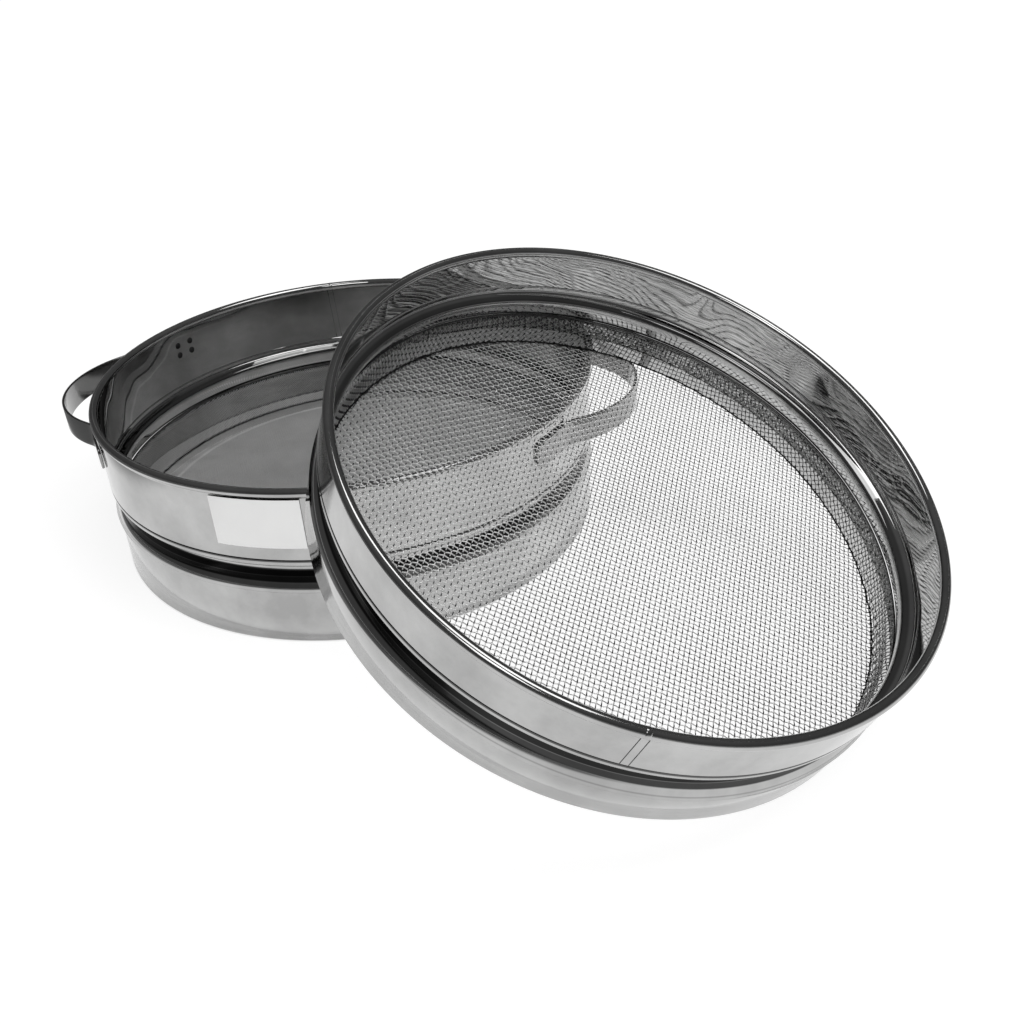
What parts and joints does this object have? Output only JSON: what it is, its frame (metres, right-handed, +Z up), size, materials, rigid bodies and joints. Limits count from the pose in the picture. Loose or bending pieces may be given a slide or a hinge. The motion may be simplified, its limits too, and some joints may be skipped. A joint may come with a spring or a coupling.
{
  "type": "mesh strainer",
  "caption": "Round steel strainer in two stackable stages with woven mesh floors, the coarse stage leaning on the rim of the fine one, which has strap handles.",
  "frame": {"origin": "middle of the footprint's box, on the table that both stages touch", "axes": "+Z up; the coarse stage leans towards -Y away from the fine stage, and +X is to the right when looking along +Y"},
  "size_m": [0.2672, 0.4272, 0.1479],
  "materials": {
    "fine_steel": "polished stainless sheet",
    "coarse_steel": "polished stainless sheet",
    "fine_wire": "fine woven stainless wire cloth",
    "coarse_wire": "coarse woven stainless wire cloth",
    "strap_steel": "polished stainless strip",
    "weld_steel": "dark spot weld",
    "label_film": "thin blank film label"
  },
  "bodies": {
    "fine_sieve": {"fine_upper_hoop": "fine_steel", "fine_lower_hoop": "fine_steel", "fine_mesh_side": "fine_wire", "fine_mesh_floor": "fine_wire", "handle_left": "strap_steel", "handle_right": "strap_steel", "label_blank": "label_film", "weld_left_a1": "weld_steel", "weld_left_a2": "weld_steel", "weld_left_a3": "weld_steel", "weld_left_a4": "weld_steel", "weld_left_b1": "weld_steel", "weld_left_b2": "weld_steel", "weld_left_b3": "weld_steel", "weld_left_b4": "weld_steel", "weld_right_a1": "weld_steel", "weld_right_a2": "weld_steel", "weld_right_a3": "weld_steel", "weld_right_a4": "weld_steel", "weld_right_b1": "weld_steel", "weld_right_b2": "weld_steel", "weld_right_b3": "weld_steel", "weld_right_b4": "weld_steel"},
    "coarse_sieve": {"coarse_upper_hoop": "coarse_steel", "coarse_lower_hoop": "coarse_steel", "coarse_mesh_side": "coarse_wire", "coarse_mesh_floor": "coarse_wire"}
  },
  "joints": [
    {"name": "coarse_lift", "type": "slide", "parent": "fine_sieve", "child": "coarse_sieve", "axis": [0, 0, 1], "range_m": [0, 0.25]}
  ]
}
